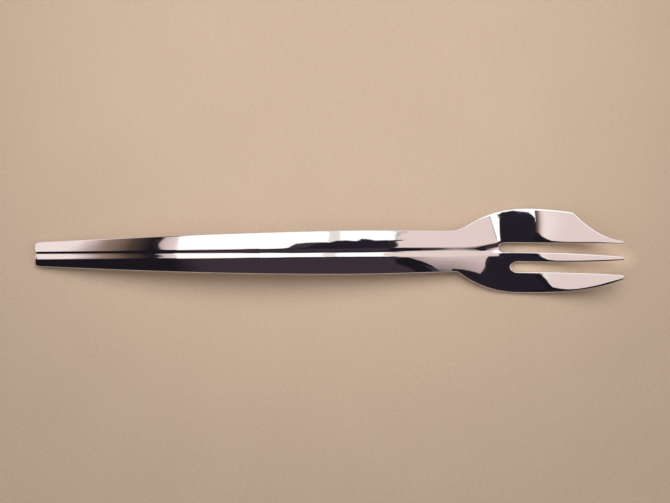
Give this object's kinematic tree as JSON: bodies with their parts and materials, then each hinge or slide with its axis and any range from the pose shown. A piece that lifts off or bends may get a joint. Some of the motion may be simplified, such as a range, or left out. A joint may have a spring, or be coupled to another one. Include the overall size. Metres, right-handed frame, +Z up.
{
  "type": "cake fork",
  "caption": "Small pastry fork in polished steel: arched handle with a pressed groove, flat head with slotted tines and one broad hollow-edged cutting tine.",
  "frame": {"origin": "on the table under the middle of the fork's length and width", "axes": "+X from the handle's end to the tines, +Y to the cutting tine, +Z up from the table"},
  "size_m": [0.15, 0.0216, 0.0094],
  "materials": {
    "steel": "mirror polished stainless steel"
  },
  "bodies": {
    "root": {"cake_fork": "steel"}
  },
  "joints": []
}
